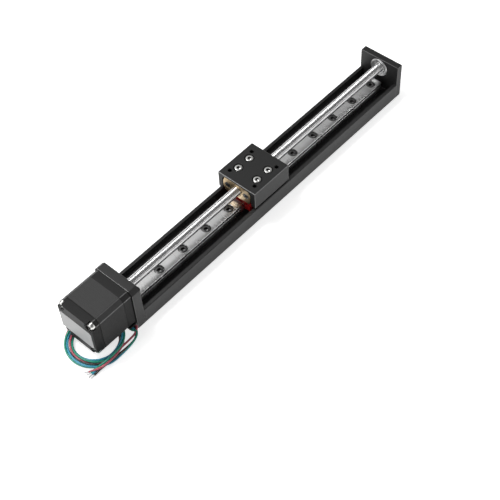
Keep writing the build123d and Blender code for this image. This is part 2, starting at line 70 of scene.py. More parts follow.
motor_front = plate_low.x
screw_height = (bearing_low.z + bearing_high.z) / 2
carriage_middle = (carriage_low.x + carriage_high.x) / 2

# Sizes that repeat those of the CAD source
screw_radius = 3.0 * MM
thread_pitch = 1.0 * MM
thread_depth = 0.25 * MM
rail_pitch = 20.0 * MM
rail_hole_count = 12
rail_end_margin = 6.0 * MM
rail_counterbore_radius = 3.0 * MM
rail_counterbore_depth = 3.5 * MM
rail_bore_radius = 1.75 * MM
case_screw_pitch = 23.0 * MM
plate_screw_pitch = 24.0 * MM
plate_screw_height = 3.2 * MM
plate_screw_sink = 2.7 * MM
carriage_screw_pitch_x = 10.0 * MM
carriage_screw_pitch_y = 15.0 * MM
carriage_counterbore_depth = 3.2 * MM
carriage_counterbore_radius = 3.0 * MM
carriage_bore_radius = 1.5 * MM
mount_hole_pitch = 20.0 * MM
mount_hole_radius = 1.5 * MM
mount_hole_depth = 5.0 * MM
nut_screw_pitch = 14.5 * MM
nut_flange_thickness = 3.0 * MM
nut_barrel_radius = 5.0 * MM
motor_corner = 2.6 * MM
motor_boss_radius = 11.0 * MM
motor_boss_height = 1.8 * MM
motor_bore_radius = 4.5 * MM
pocket_radius = 3.0 * MM
pocket_depth = 3.0 * MM
wire_radius = 0.625 * MM
small_radius = 1.25 * MM
small_head = 2.25 * MM

# Head radius, head height, shank radius and key size of the cap screws
small_screw = (small_head, 2.5 * MM, small_radius, 2.0 * MM)
rail_screw = (2.75 * MM, 3.0 * MM, 1.5 * MM, 2.5 * MM)
carriage_screw = (2.45 * MM, 3.0 * MM, 1.5 * MM, 2.3 * MM)
end_cap_screw = (0.9 * MM, 0.5 * MM, 0.5 * MM, 0.7 * MM)
rail_shank = 6.0 * MM
carriage_shank = 12.4 * MM
end_cap_shank = 1.5 * MM

# Play round a piece in its bore, a cutter's length beyond what it cuts, and a bore's chamfer
fit = 0.02 * MM
bearing_fit = 0.01 * MM
through = 2.0 * MM
bore_edge = 0.2 * MM


# Materials


def new_material(name):
    """A new material, its nodes, its links and its Principled shader."""
    material = bpy.data.materials.new(name)
    material.use_nodes = True
    nodes = material.node_tree.nodes
    return material, nodes, material.node_tree.links, nodes["Principled BSDF"]


def noise(nodes, links, scale, stretch=(1, 1, 1), detail=6.0):
    """Noise over the object's own coordinates, in features per metre, stretched along its axes."""
    place = nodes.new("ShaderNodeTexCoord")
    mapping = nodes.new("ShaderNodeMapping")
    mapping.inputs["Scale"].default_value = stretch
    texture = nodes.new("ShaderNodeTexNoise")
    texture.inputs["Scale"].default_value = scale
    texture.inputs["Detail"].default_value = detail
    texture.inputs["Roughness"].default_value = 0.55
    links.new(place.outputs["Object"], mapping.inputs["Vector"])
    links.new(mapping.outputs["Vector"], texture.inputs["Vector"])
    return texture.outputs["Fac"]


def ramp(nodes, links, factor, stops):
    """Colours or grey values along a factor: stops are (position, colour) pairs."""
    node = nodes.new("ShaderNodeValToRGB")
    first, last = node.color_ramp.elements
    first.position, first.color = stops[0][0], (*stops[0][1], 1)
    last.position, last.color = stops[-1][0], (*stops[-1][1], 1)
    for position, colour in stops[1:-1]:
        element = node.color_ramp.elements.new(position)
        element.color = (*colour, 1)
    links.new(factor, node.inputs["Fac"])
    return node.outputs["Color"]


def grey(value):
    return (value, value, value)


def bump(nodes, links, shader, height, strength, distance):
    node = nodes.new("ShaderNodeBump")
    node.inputs["Strength"].default_value = strength
    node.inputs["Distance"].default_value = distance
    links.new(height, node.inputs["Height"])
    links.new(node.outputs["Normal"], shader.inputs["Normal"])


def metal(name, dark, light, rough, scale, stretch=(1, 1, 1), grain=0.15, metallic=1.0, specular=0.5):
    """A metal or coated metal whose colour, roughness and fine relief vary with stretched noise."""
    relief = 0.02 * MM
    material, nodes, links, shader = new_material(name)
    shader.inputs["Metallic"].default_value = metallic
    shader.inputs["Specular IOR Level"].default_value = specular
    fine = noise(nodes, links, scale, stretch)
    broad = noise(nodes, links, scale / 12, stretch, detail=3.0)
    mix = nodes.new("ShaderNodeMix")
    mix.data_type = "RGBA"
    links.new(broad, mix.inputs["Factor"])
    links.new(ramp(nodes, links, fine, [(0.3, dark), (0.7, light)]), mix.inputs["A"])
    mix.inputs["B"].default_value = (*light, 1)
    links.new(mix.outputs["Result"], shader.inputs["Base Color"])
    roughness = [(0.25, grey(rough[0])), (0.75, grey(rough[1]))]
    links.new(ramp(nodes, links, fine, roughness), shader.inputs["Roughness"])
    bump(nodes, links, shader, fine, grain, relief)
    return material


def coated(*look, **more):
    """The same for a coat, which isn't metallic to the shader."""
    return metal(*look, metallic=0.0, **more)


def plastic(name, dark, light, rough, coat=0.0):
    """A moulded plastic with slight mottling and a fine skin texture."""
    grain = 0.1
    relief = 0.03 * MM
    material, nodes, links, shader = new_material(name)
    fine = noise(nodes, links, 900.0)
    links.new(ramp(nodes, links, fine, [(0.35, dark), (0.65, light)]), shader.inputs["Base Color"])
    roughness = [(0.3, grey(rough[0])), (0.7, grey(rough[1]))]
    links.new(ramp(nodes, links, fine, roughness), shader.inputs["Roughness"])
    shader.inputs["Coat Weight"].default_value = coat
    bump(nodes, links, shader, fine, grain, relief)
    return material


anodised = coated("black_anodised", grey(0.008), grey(0.014), (0.44, 0.56), 2600.0, grain=0.2, specular=0.42)
anodised_long = coated(
    "black_extrusion", grey(0.009), grey(0.016), (0.42, 0.54), 2600.0, (0.04, 1, 1), specular=0.42
)
motor_black = coated("motor_black", grey(0.028), grey(0.038), (0.26, 0.38), 1800.0, grain=0.2, specular=0.04)
laminations = coated(
    "laminations", grey(0.056), grey(0.078), (0.36, 0.48), 2400.0, (6, 1, 1), grain=0.3, specular=0.03
)
label_plate = coated("label_plate", grey(0.46), grey(0.54), (0.4, 0.5), 3200.0, (1, 0.03, 1), grain=0.05)

# Bare and plated metals
rail_steel = metal("rail_steel", grey(0.46), grey(0.68), (0.24, 0.32), 700.0, (0.1, 0.01, 0.01), grain=0.01)
block_steel = metal("block_steel", grey(0.5), grey(0.68), (0.26, 0.38), 3000.0, (0.05, 1, 1), grain=0.08)
bearing_steel = metal("bearing_steel", grey(0.56), grey(0.7), (0.34, 0.44), 2200.0, grain=0.05)
screw_steel = metal(
    "lead_screw_steel", grey(0.58), grey(0.76), (0.24, 0.34), 2600.0, (1, 0.3, 0.3), grain=0.05
)
nickel = metal("nickel_plate", (0.6, 0.6, 0.58), (0.74, 0.74, 0.72), (0.24, 0.34), 1800.0, grain=0.06)
# Painted shade: a dark colour for the walls of the screws' sockets and recesses
socket_shade_paint = metal("socket_shade", grey(0.02), grey(0.05), (0.5, 0.6), 2200.0, metallic=0.4)
# Painted highlight: a lighter colour that rounded edges get where they catch the light
edge_highlight_paint = metal("painted_edge_highlight", grey(0.05), grey(0.2), (0.34, 0.46), 1400.0, metallic=0.7, grain=0.1)
black_oxide = metal("black_oxide", grey(0.05), grey(0.1), (0.26, 0.4), 2200.0, metallic=0.8, grain=0.1)
brass = metal(
    "nut_brass", (0.46, 0.33, 0.18), (0.6, 0.46, 0.28), (0.3, 0.42), 2400.0, (1, 0.2, 0.2), grain=0.1
)
copper = metal(
    "enamelled_copper", (0.3, 0.1, 0.03), (0.55, 0.22, 0.08), (0.25, 0.4), 3000.0, (1, 8, 8), grain=0.3
)
magnet = metal("sintered_magnet", grey(0.2), grey(0.34), (0.4, 0.6), 2600.0, grain=0.3, metallic=0.8)
tinned = metal(
    "tinned_wire", grey(0.6), grey(0.74), (0.35, 0.5), 3000.0, (0.2, 1, 1), grain=0.2, metallic=0.3
)

# Plastics
red_plastic = plastic("red_plastic", (0.36, 0.006, 0.008), (0.5, 0.012, 0.014), (0.26, 0.36), coat=0.15)
black_plastic = plastic("black_plastic", grey(0.01), grey(0.02), (0.4, 0.55))

# The darker and the lighter shade of each wire
wires = {
    "red": ((0.52, 0.09, 0.13), (0.66, 0.15, 0.2)),
    "green": ((0.02, 0.32, 0.21), (0.05, 0.42, 0.29)),
    "blue": ((0.04, 0.34, 0.5), (0.08, 0.44, 0.6)),
    "black": (grey(0.012), grey(0.03)),
}


# Mesh tools


def add_object(name, data):
    """A new object in the scene."""
    obj = bpy.data.objects.new(name, data)
    bpy.context.scene.collection.objects.link(obj)
    return obj


def new_object(name, bm, material, body, smooth=35.0):
    """A mesh object from bm, smooth but for edges sharper than the angle, riding on a body."""
    bmesh.ops.recalc_face_normals(bm, faces=bm.faces)
    mesh = bpy.data.meshes.new(name)
    bm.to_mesh(mesh)
    bm.free()
    obj = add_object(name, mesh)
    mesh.materials.append(material)
    soften(obj, smooth)
    if body:
        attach(obj, body)
    return obj


def soften(obj, angle=35.0):
    """Smooth shading but for edges sharper than the angle; flat faces stay flat beside rounded edges."""
    mesh = obj.data
    mesh.polygons.foreach_set("use_smooth", [True] * len(mesh.polygons))
    mesh.set_sharp_from_angle(angle=math.radians(angle))
    weighted = obj.modifiers.new("flat_faces", "WEIGHTED_NORMAL")
    weighted.weight = 80
    weighted.keep_sharp = True


def axes_for(axis):
    """Two directions that make a right-handed set with axis."""
    axis = Vector(axis).normalized()
    first = Vector((0, 0, 1)) if abs(axis.z) < 0.9 else Vector((1, 0, 0))
    first = (first - axis * first.dot(axis)).normalized()
    return axis, first, axis.cross(first)


def round_rings(profile, count):
    """Circles of points for a profile of (height along the axis, radius) pairs."""
    circle = [(math.cos(2 * math.pi * k / count), math.sin(2 * math.pi * k / count)) for k in range(count)]
    return [(height, [(radius * a, radius * b) for a, b in circle]) for height, radius in profile]


def hexagon_rings(profile, count):
    """Hexagons for a profile of (height along the axis, distance between flats) pairs."""
    sector = math.pi / 3
    rings = []
    for height, flats in profile:
        ring = []
        for k in range(count):
            angle = 2 * math.pi * k / count
            off = (angle + sector / 2) % sector - sector / 2
            reach = flats / 2 / math.cos(off)
            ring.append((reach * math.cos(angle), reach * math.sin(angle)))
        rings.append((height, ring))
    return rings


def stack(bm, rings, origin, axis, closed=False):
    """Join rings of (height along the axis, points) into a skin, closed on itself or with end faces."""
    axis, first, second = axes_for(axis)
    origin = Vector(origin)
    loops = []
    for height, points in rings:
        loops.append([bm.verts.new(origin + axis * height + first * a + second * b) for a, b in points])
    count = len(loops[0])
    pairs = list(zip(loops, loops[1:]))
    if closed:
        pairs.append((loops[-1], loops[0]))
    for low, high in pairs:
        for k in range(count):
            bm.faces.new((low[k], low[(k + 1) % count], high[(k + 1) % count], high[k]))
    if not closed:
        bm.faces.new(list(reversed(loops[0])))
        bm.faces.new(loops[-1])


def lathe(bm, profile, origin, axis, count, closed=False):
    """Turn a profile of (height along the axis, radius) pairs round the axis."""
    stack(bm, round_rings(profile, count), origin, axis, closed)


def prism(bm, outline, start, end, axis="X"):
    """Extrude an outline given on the plane across an axis: (Y, Z) for X and (X, Y) for Z."""
    if axis == "X":
        ends = [[(x, a, b) for a, b in outline] for x in (start, end)]
    else:
        ends = [[(a, b, z) for a, b in outline] for z in (start, end)]
    low, high = ([bm.verts.new(point) for point in points] for points in ends)
    bm.faces.new(low)
    bm.faces.new(list(reversed(high)))
    count = len(outline)
    for k in range(count):
        bm.faces.new((low[k], high[k], high[(k + 1) % count], low[(k + 1) % count]))


def bevel(bm, width, segments=2):
    """Round every edge that is sharper than 30 degrees."""
    sharp = math.radians(30.0)
    bm.normal_update()
    edges = [edge for edge in bm.edges if edge.is_manifold and edge.calc_face_angle(0) > sharp]
    bmesh.ops.bevel(
        bm, geom=edges, offset=width, segments=segments, profile=0.5, affect="EDGES", clamp_overlap=True
    )


def rounded_prism(name, outline, start, end, edge, material, body, axis="X", segments=2):
    """An object of an extruded outline with rounded edges."""
    bm = bmesh.new()
    prism(bm, outline, start, end, axis)
    bevel(bm, edge, segments)
    return new_object(name, bm, material, body)


def rectangle(low, high):
    """The outline of a box seen from above."""
    return [(low.x, low.y), (high.x, low.y), (high.x, high.y), (low.x, high.y)]


def carve(obj, cutter_bm):
    """Cut a mesh of holes out of obj."""
    bmesh.ops.recalc_face_normals(cutter_bm, faces=cutter_bm.faces)
    mesh = bpy.data.meshes.new("cutter")
    cutter_bm.to_mesh(mesh)
    cutter_bm.free()
    cutter = add_object("cutter", mesh)
    obj.modifiers.clear()
    modifier = obj.modifiers.new("holes", "BOOLEAN")
    modifier.operation = "DIFFERENCE"
    modifier.solver = "EXACT"
    modifier.object = cutter
    graph = bpy.context.evaluated_depsgraph_get()
    carved = bpy.data.meshes.new_from_object(obj.evaluated_get(graph))
    obj.modifiers.clear()
    obj.data = carved
    soften(obj)
    bpy.data.objects.remove(cutter)


def hole(bm, mouth, inward, radius, depth, chamfer, counterbore=None, count=48):
    """A cutter for a hole with a chamfered mouth, and a counterbore (radius, depth) if asked."""
    over = 1 * MM
    axis_radius = 1e-6
    wide = counterbore[0] if counterbore else radius
    profile = [(-over, axis_radius), (-over, wide + chamfer), (0, wide + chamfer), (chamfer, wide)]
    if counterbore:
        profile += [(counterbore[1], wide), (counterbore[1], radius)]
    profile += [(depth, radius), (depth, axis_radius)]
    lathe(bm, profile, mouth, inward, count)


def cap_screw(size, shank, rim=0.25 * MM, count=48):
    """The rings of a cap screw: its shank, its head with a chamfered rim, and a hexagon socket."""
    head_radius, head_height, shank_radius, key = size
    body = shank_radius * 0.98
    point = 0.4 * MM
    socket_edge = 0.1 * MM
    turned = [(-shank, body * 0.7), (point - shank, body), (0, body), (0, head_radius)]
    turned += [(head_height - rim, head_radius), (head_height - rim * 0.3, head_radius - rim * 0.3)]
    turned.append((head_height, head_radius - rim))
    socket = [(head_height, key * 1.1), (head_height - socket_edge, key), (head_height * 0.45, key)]
    rings = round_rings(turned, count) + hexagon_rings(socket, count)
    return rings + round_rings([(head_height * 0.3, key * 0.1)], count)


def screw_set(name, rings, seats, out, material, body):
    """Equal screws on their seats, as one object."""
    bm = bmesh.new()
    for seat in seats:
        stack(bm, rings, seat, out)
    return new_object(name, bm, material, body)


def paint_edge_highlights(obj, low, high):
    """The rounded outer edges of a box-like piece get a lighter colour, a painted highlight along the edges.
    """
    reach = 0.7 * MM
    flat = 0.97
    obj.data.materials.append(edge_highlight_paint)
    for face in obj.data.polygons:
        near = [min(face.center[k] - low[k], high[k] - face.center[k]) < reach for k in range(3)]
        if sum(near) > 1 and max(abs(part) for part in face.normal) < flat:
            face.material_index = 1


def paint_corner_highlights(obj):
    """The long edges beside the motor's cut corners get the same painted highlight."""
    corner_distance = (stator_high.y - stator_low.y) * 0.48
    obj.data.materials.append(edge_highlight_paint)
    for face in obj.data.polygons:
        turned = math.degrees(math.atan2(face.normal.z, face.normal.y)) % 45
        away = math.hypot(face.center.y, face.center.z - screw_height)
        if abs(face.normal.x) < 0.3 and 8 < turned < 37 and away > corner_distance:
            face.material_index = 1


# Camera, light and stage

camera_place = Vector((-0.313446, -0.309567, 0.513321))
camera_right = Vector((0.66322346, -0.74732508, -0.0404952))
camera_up = Vector((0.60462168, 0.50311918, 0.61749794))
camera_back = Vector((-0.44109779, -0.4340234, 0.78552939))
camera_lens = 78.69

# Place, target, size and power of each lamp
lamps = {
    "key": ((-0.2, 0.5, 1.0), (0, 0, 0), (0.5, 0.3), 6.5),
    "side": ((0.5, -0.95, 0.5), (0, 0, 0), (0.8, 0.2), 2.0),
    "rim": ((-0.9, 0.1, 0.45), (-0.1, 0, 0), (0.3, 0.3), 1.4),
}
ambient_strength = 0.8


def build_camera():
    camera = bpy.data.cameras.new("camera")
    camera.sensor_width = 36.0
    camera.lens = camera_lens
    camera.clip_start = 0.01
    obj = add_object("camera", camera)
    turn = Matrix((camera_right, camera_up, camera_back)).transposed()
    obj.matrix_world = Matrix.Translation(camera_place) @ turn.to_4x4()
    bpy.context.scene.camera = obj


def area_light(name, place, target, size, power):
    light = bpy.data.lights.new(name, "AREA")
    light.shape = "RECTANGLE"
    light.size, light.size_y = size
    light.energy = power
    obj = add_object(name, light)
    obj.location = place
    obj.rotation_euler = (Vector(target) - Vector(place)).to_track_quat("-Z", "Y").to_euler()


def build_light():
    """Soft lamps, and a world that looks white and is graded for light and gloss."""
    for name, lamp in lamps.items():
        area_light(name, *lamp)
    world = bpy.data.worlds.new("world")
    bpy.context.scene.world = world
    world.use_nodes = True
    nodes = world.node_tree.nodes
    links = world.node_tree.links
    nodes.clear()
    output = nodes.new("ShaderNodeOutputWorld")
    seen = nodes.new("ShaderNodeBackground")
    seen.inputs["Color"].default_value = (1, 1, 1, 1)
    ambient = nodes.new("ShaderNodeBackground")
    ambient.inputs["Strength"].default_value = ambient_strength
    place = nodes.new("ShaderNodeTexCoord")
    split = nodes.new("ShaderNodeSeparateXYZ")
    links.new(place.outputs["Generated"], split.inputs["Vector"])
    across = [(0.0, grey(0.0)), (0.22, grey(0.15)), (0.4, grey(1.0))]
    across += [(0.7, grey(0.9)), (0.8, grey(0.2)), (1.0, grey(0.0))]
    along = [(0.0, grey(1.0)), (0.5, grey(0.85)), (0.62, grey(0.25)), (1.0, grey(0.1))]
    softbox = nodes.new("ShaderNodeMath")
    softbox.operation = "MULTIPLY"
    links.new(ramp(nodes, links, split.outputs["Y"], across), softbox.inputs[0])
    links.new(ramp(nodes, links, split.outputs["X"], along), softbox.inputs[1])
    sky = [(0.0, grey(0.2)), (1.0, grey(1.15))]
    links.new(ramp(nodes, links, softbox.outputs["Value"], sky), ambient.inputs["Color"])
    path = nodes.new("ShaderNodeLightPath")
    mix = nodes.new("ShaderNodeMixShader")
    links.new(path.outputs["Is Camera Ray"], mix.inputs["Fac"])
    links.new(ambient.outputs["Background"], mix.inputs[1])
    links.new(seen.outputs["Background"], mix.inputs[2])
    links.new(mix.outputs["Shader"], output.inputs["Surface"])


def build_floor():
    """A white table that keeps a soft shadow and fades into the white backdrop."""
    half_size = 6.0
    drop = 0.2 * MM
    seen_glow = 0.7
    bm = bmesh.new()
    bmesh.ops.create_grid(bm, x_segments=1, y_segments=1, size=half_size)
    material, nodes, links, shader = new_material("table")
    shader.inputs["Base Color"].default_value = (*grey(0.86), 1)
    shader.inputs["Roughness"].default_value = 0.7
    glow = nodes.new("ShaderNodeEmission")
    glow.inputs["Strength"].default_value = seen_glow
    path = nodes.new("ShaderNodeLightPath")
    either = nodes.new("ShaderNodeMath")
    either.operation = "MAXIMUM"
    only_seen = nodes.new("ShaderNodeMixShader")
    add = nodes.new("ShaderNodeAddShader")
    links.new(path.outputs["Is Camera Ray"], either.inputs[0])
    links.new(path.outputs["Is Glossy Ray"], either.inputs[1])
    links.new(either.outputs["Value"], only_seen.inputs["Fac"])
    links.new(glow.outputs["Emission"], only_seen.inputs[2])
    links.new(shader.outputs["BSDF"], add.inputs[0])
    links.new(only_seen.outputs["Shader"], add.inputs[1])
    links.new(add.outputs["Shader"], nodes["Material Output"].inputs["Surface"])
    floor = new_object("table_top", bm, material, None)
    floor.location.z = -drop


# Motor leads: a loose bundle of four wires that twist slowly round each other, wound in a flat coil

# The coil: its radii at the start, after the first turn and at the end
coil_centre = Vector((motor_front - 21.3 * MM, -3.0 * MM, 0))
coil_start_angle = math.radians(-85.0)
coil_radii = (17.2 * MM, 14.4 * MM, 15.6 * MM)
coil_left_bulge = 0.5 * MM
coil_turns = 2
coil_points_per_turn = 18
over_height = 3.75 * MM
table_height = 1.45 * MM

# The bundle: how its wires lie round its middle line
bundle_radius = 0.95 * MM
twist_length = 75.0 * MM
twist_start = 0.6
loose_share = 0.12
loose_waves = 190.0
loose_shift = 2.1

# The outlet: the wires' pitch there, and the fan in which they go over into the bundle
exit_pitch = 1.9 * wire_radius
exit_drop = 0.3 * MM
exit_straight = 1.3 * MM
exit_spread = 1.2 * MM
exit_spread_shares = (0.25, 0.8, 1.0, 0.8, 0.55, 0.25)
fan_places = (0, 3, 2, 1)
fan_middle = 2.6

# Points of the bundle's middle line outside the coil, in millimetres from the motor's front
exit_centres = [(-2.8, -16.6, 3.1), (-4.3, -19.3, 2.6), (-9.0, -20.6, 1.7), (-14.5, -20.5, 1.45)]
tail_centres = [(-25.5, -19.3, 3.7), (-30.0, -19.1, 3.0), (-34.3, -17.8, 1.9)]
tail_tip = (-38.5, -16.6, 0.65)
tip_pitch = 1.3
tip_stagger = 0.5

# The bare end of each wire
bare_radius = 0.72 * wire_radius
bare_length = 2.7 * MM
bare_taper = 0.3 * MM
bare_inside = 0.2 * MM


def ease(value, start, end):
    """0 before start, 1 after end and a smooth rise between them."""
    t = min(1.0, max(0.0, (value - start) / (end - start)))
    return t * t * (3 - 2 * t)


def coil_point(turned):
    """The middle of the bundle after that many turns, clockwise seen from above."""
    angle = coil_start_angle - 2 * math.pi * turned
    first, second, third = coil_radii
    radius = first + (second - first) * ease(turned, 0.5, 0.85)
    radius += (third - second) * ease(turned, 1.55, 1.9)
    radius += coil_left_bulge * math.cos(angle - math.pi)
    height = table_height + (over_height - table_height) * ease(turned, 1.5, 1.8)
    return coil_centre + Vector((radius * math.cos(angle), radius * math.sin(angle), height))


def bundle_route():
    """The bundle's middle line from the outlet to the tips."""
    front = Vector((motor_front, 0, 0))
    points = [front + Vector(point) * MM for point in exit_centres]
    steps = coil_turns * coil_points_per_turn
    points += [coil_point(k / coil_points_per_turn) for k in range(steps + 1)]
    points += [front + Vector(point) * MM for point in tail_centres]
    return points


def wire_route(wire):
    """One wire's control points, from its hole round the bundle's middle line to its tip."""
    place = fan_places[wire]
    exit_x = (outlet_low.x + outlet_high.x) / 2 + (1.5 - place) * exit_pitch
    exit_z = (outlet_low.z + outlet_high.z) / 2 - exit_drop
    points = [Vector((exit_x, outlet_low.y, exit_z)), Vector((exit_x, outlet_low.y - exit_straight, exit_z))]
    middle = bundle_route()
    travelled = 0.0
    last = len(middle) - 1
    for k, centre in enumerate(middle):
        before, after = middle[max(0, k - 1)], middle[min(last, k + 1)]
        travelled += (centre - before).length
        heading = after - before
        side = Vector((-heading.y, heading.x, 0)).normalized()
        angle = 2 * math.pi * travelled / twist_length + wire * math.pi / 2 + twist_start
        loose = 1.0 + loose_share * math.sin(travelled * loose_waves + loose_shift * wire)
        across = side * math.cos(angle) * bundle_radius * loose
        if k < len(exit_spread_shares):
            across += side * (place - fan_middle) * exit_spread * exit_spread_shares[k]
        sunk = bundle_radius * max(abs(math.sin(angle)), abs(math.cos(angle)))
        height = centre.z - table_height + wire_radius + sunk + math.sin(angle) * bundle_radius
        points.append(Vector((centre.x + across.x, centre.y + across.y, max(wire_radius, height))))
    tip = Vector((motor_front, 0, 0)) + Vector(tail_tip) * MM
    points.append(tip + Vector((tip_stagger * (wire % 2), tip_pitch * (1.5 - wire), 0)) * MM)
    return points


def build_leads():
    """The four wires, each one cord with a bare tip."""
    bare_profile = [(-bare_inside, bare_radius), (bare_length - bare_taper, bare_radius)]
    bare_profile.append((bare_length, bare_radius * 0.6))
    for wire, (colour, shades) in enumerate(wires.items()):
        points = wire_route(wire)
        curve = bpy.data.curves.new(f"lead_{colour}", "CURVE")
        curve.dimensions = "3D"
        curve.bevel_depth = wire_radius
        curve.bevel_resolution = 5
        curve.resolution_u = 6
        curve.use_fill_caps = True
        spline = curve.splines.new("NURBS")
        spline.points.add(len(points) - 1)
        for control, point in zip(spline.points, points):
            control.co = (*point, 1)
        spline.order_u = 3
        spline.use_endpoint_u = True
        obj = add_object(f"lead_{colour}", curve)
        curve.materials.append(plastic(f"insulation_{colour}", *shades, (0.22, 0.36)))
        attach(obj, "base")
        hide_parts("lead_exit_run", "lead_coil", "lead_tail")
        bm = bmesh.new()
        direction = points[-1] - points[-2]
        direction.z = 0
        lathe(bm, bare_profile, points[-1], direction, 16)
        tip = new_object(f"lead_tip_{colour}", bm, tinned, "base")


def replace(obj, node):
    """The object stands for a CAD node, which is hidden."""
    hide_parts(node)


# Plates and channel


def plate_outline(low, high, top_corner, bottom_corner):
    """A plate's outline across the slide, with its top and bottom corners cut."""
    return [
        (low.y + bottom_corner, low.z),
        (high.y - bottom_corner, low.z),
        (high.y, low.z + bottom_corner),
        (high.y, high.z - top_corner),
        (high.y - top_corner, high.z),
        (low.y + top_corner, high.z),
        (low.y, high.z - top_corner),
        (low.y, low.z + bottom_corner),
    ]


plate_screw_centres = [(side * plate_screw_pitch / 2, plate_screw_height) for side in (-1, 1)]
case_screw_centres = [
    (i * case_screw_pitch / 2, screw_height + j * case_screw_pitch / 2) for i in (-1, 1) for j in (-1, 1)
]
plate_edge = 0.3 * MM
plate_corner = 2.5 * MM


def small_screw_holes(cuts, centres, face, inward, thickness):
    """Counterbored holes for small cap screws, from one face of a plate."""
    radius = small_radius + fit
    depth = thickness + through
    counterbore = (small_head + fit, plate_screw_sink)
    for y, z in centres:
        hole(cuts, (face, y, z), (inward, 0, 0), radius, depth, bore_edge, counterbore)


def build_end_plate():
    """The end plate with the bearing's bore and two counterbored screw holes."""
    outline = plate_outline(end_low, end_high, plate_edge, plate_edge)
    plate = rounded_prism("end_plate_body", outline, end_low.x, end_high.x, plate_edge, anodised, "base")
    thickness = end_high.x - end_low.x
    bore = (bearing_high.z - bearing_low.z) / 2 + bearing_fit
    cuts = bmesh.new()
    hole(cuts, (end_high.x, 0, screw_height), (-1, 0, 0), bore, thickness + through, plate_edge, count=96)
    small_screw_holes(cuts, plate_screw_centres, end_high.x, -1, thickness)
    carve(plate, cuts)
    paint_edge_highlights(plate, end_low, end_high)
    replace(plate, "end_plate")


def build_mount_plate():
    """The mount plate with the seat of the motor's boss and the holes of both sets of screws."""
    start, end = plate_low.x, plate_high.x
    outline = plate_outline(plate_low, plate_high, plate_corner, plate_edge)
    plate = rounded_prism("motor_mount_plate_body", outline, start, end, 0.35 * MM, anodised, "base")
    mouth = (start, 0, screw_height)
    boss_seat = (motor_boss_radius + fit, motor_boss_height + fit)
    cuts = bmesh.new()
    hole(cuts, mouth, (1, 0, 0), motor_bore_radius, end - start + through, bore_edge, boss_seat, 96)
    small_screw_holes(cuts, plate_screw_centres, start, 1, end - start)
    small_screw_holes(cuts, case_screw_centres, end, -1, end - start)
    carve(plate, cuts)
    paint_edge_highlights(plate, plate_low, plate_high)
    replace(plate, "motor_mount_plate")


def shade_sockets(obj, seats, out, reach, low, high):
    """The sockets' walls, between two heights over their seats, get painted shade, a dark colour."""
    mesh = obj.data
    mesh.materials.append(socket_shade_paint)
    out = Vector(out)
    for face in mesh.polygons:
        for seat in seats:
            away = face.center - Vector(seat)
            height = away.dot(out)
            if low < height < high and (away - out * height).length < reach:
                face.material_index = 1


def cap_screws(stem, material, body, seats, out, shank, size=small_screw):
    """Cap screws with painted shade in their sockets, on their seats, as one piece."""
    _, height, _, key = size
    heads = screw_set(f"{stem}_cap_screws", cap_screw(size, shank), seats, out, material, body)
    shade_sockets(heads, seats, out, key * 0.6, height * 0.42, height - 0.05 * MM)
    replace(heads, f"{stem}_screws")


def build_plate_screws():
    """The cap screws of the two plates and those that hold the motor."""
    for stem, face, out, centres, shank in (
        ("mount_plate", plate_low.x, -1, plate_screw_centres, 10.5 * MM),
        ("end_plate", end_high.x, 1, plate_screw_centres, 9.0 * MM),
        ("motor_mount", plate_high.x, 1, case_screw_centres, 6.5 * MM),
    ):
        seats = [(face - out * plate_screw_sink, y, z) for y, z in centres]
        cap_screws(stem, black_oxide, "base", seats, (out, 0, 0), shank)


# Rail


def rail_profile():
    """The rail's section: bevelled top, a ball groove in each side and a small relief under it."""
    half = (rail_high.y - rail_low.y) / 2
    low, high = rail_low.z, rail_high.z
    edge = 0.12 * MM
    inset = 0.25 * MM
    relief_low = low + 1.6 * MM
    relief_high = low + 2.75 * MM
    groove = 0.85 * MM
    groove_y = half + inset
    groove_z = low + 4.2 * MM
    opening = math.acos(inset / groove)
    side = [(half, low), (half, relief_low), (half - inset, relief_low + inset)]
    side += [(half - inset, relief_high - inset), (half, relief_high)]
    for k in range(9):
        angle = math.pi + opening - 2 * opening * k / 8
        side.append((groove_y + groove * math.cos(angle), groove_z + groove * math.sin(angle)))
    side += [(half, high - edge), (half - edge, high)]
    return side + [(-y, z) for y, z in reversed(side)]


def build_rail():
    """The grooved rail with its row of counterbored holes, and the screws in them."""
    bm = bmesh.new()
    prism(bm, rail_profile(), rail_low.x, rail_high.x)
    rail = new_object("rail_body", bm, rail_steel, "base")
    stations = [rail_low.x + rail_end_margin + k * rail_pitch for k in range(rail_hole_count)]
    depth = rail_high.z - rail_low.z + through / 2
    counterbore = (rail_counterbore_radius, rail_counterbore_depth)
    cuts = bmesh.new()
    for x in stations:
        hole(cuts, (x, 0, rail_high.z), (0, 0, -1), rail_bore_radius, depth, bore_edge, counterbore)
    carve(rail, cuts)
    replace(rail, "linear_rail")
    seats = [(x, 0, rail_high.z - rail_counterbore_depth) for x in stations]
    cap_screws("rail", black_oxide, "base", seats, (0, 0, 1), rail_shank, rail_screw)


# Lead screw with its thread, in one piece with the motor's shaft


def thread_cut(x, start, turn):
    """How deep the thread is cut at a place along it and at a share of a turn, from 0 to 1."""
    shares = (0.0, 0.05, 0.6, 1.0, 0.95, 0.35)
    phase = ((x - start) / thread_pitch - turn) % 1.0 * len(shares)
    step = int(phase)
    low, high = shares[step % len(shares)], shares[(step + 1) % len(shares)]
    return low + (high - low) * (phase - step)


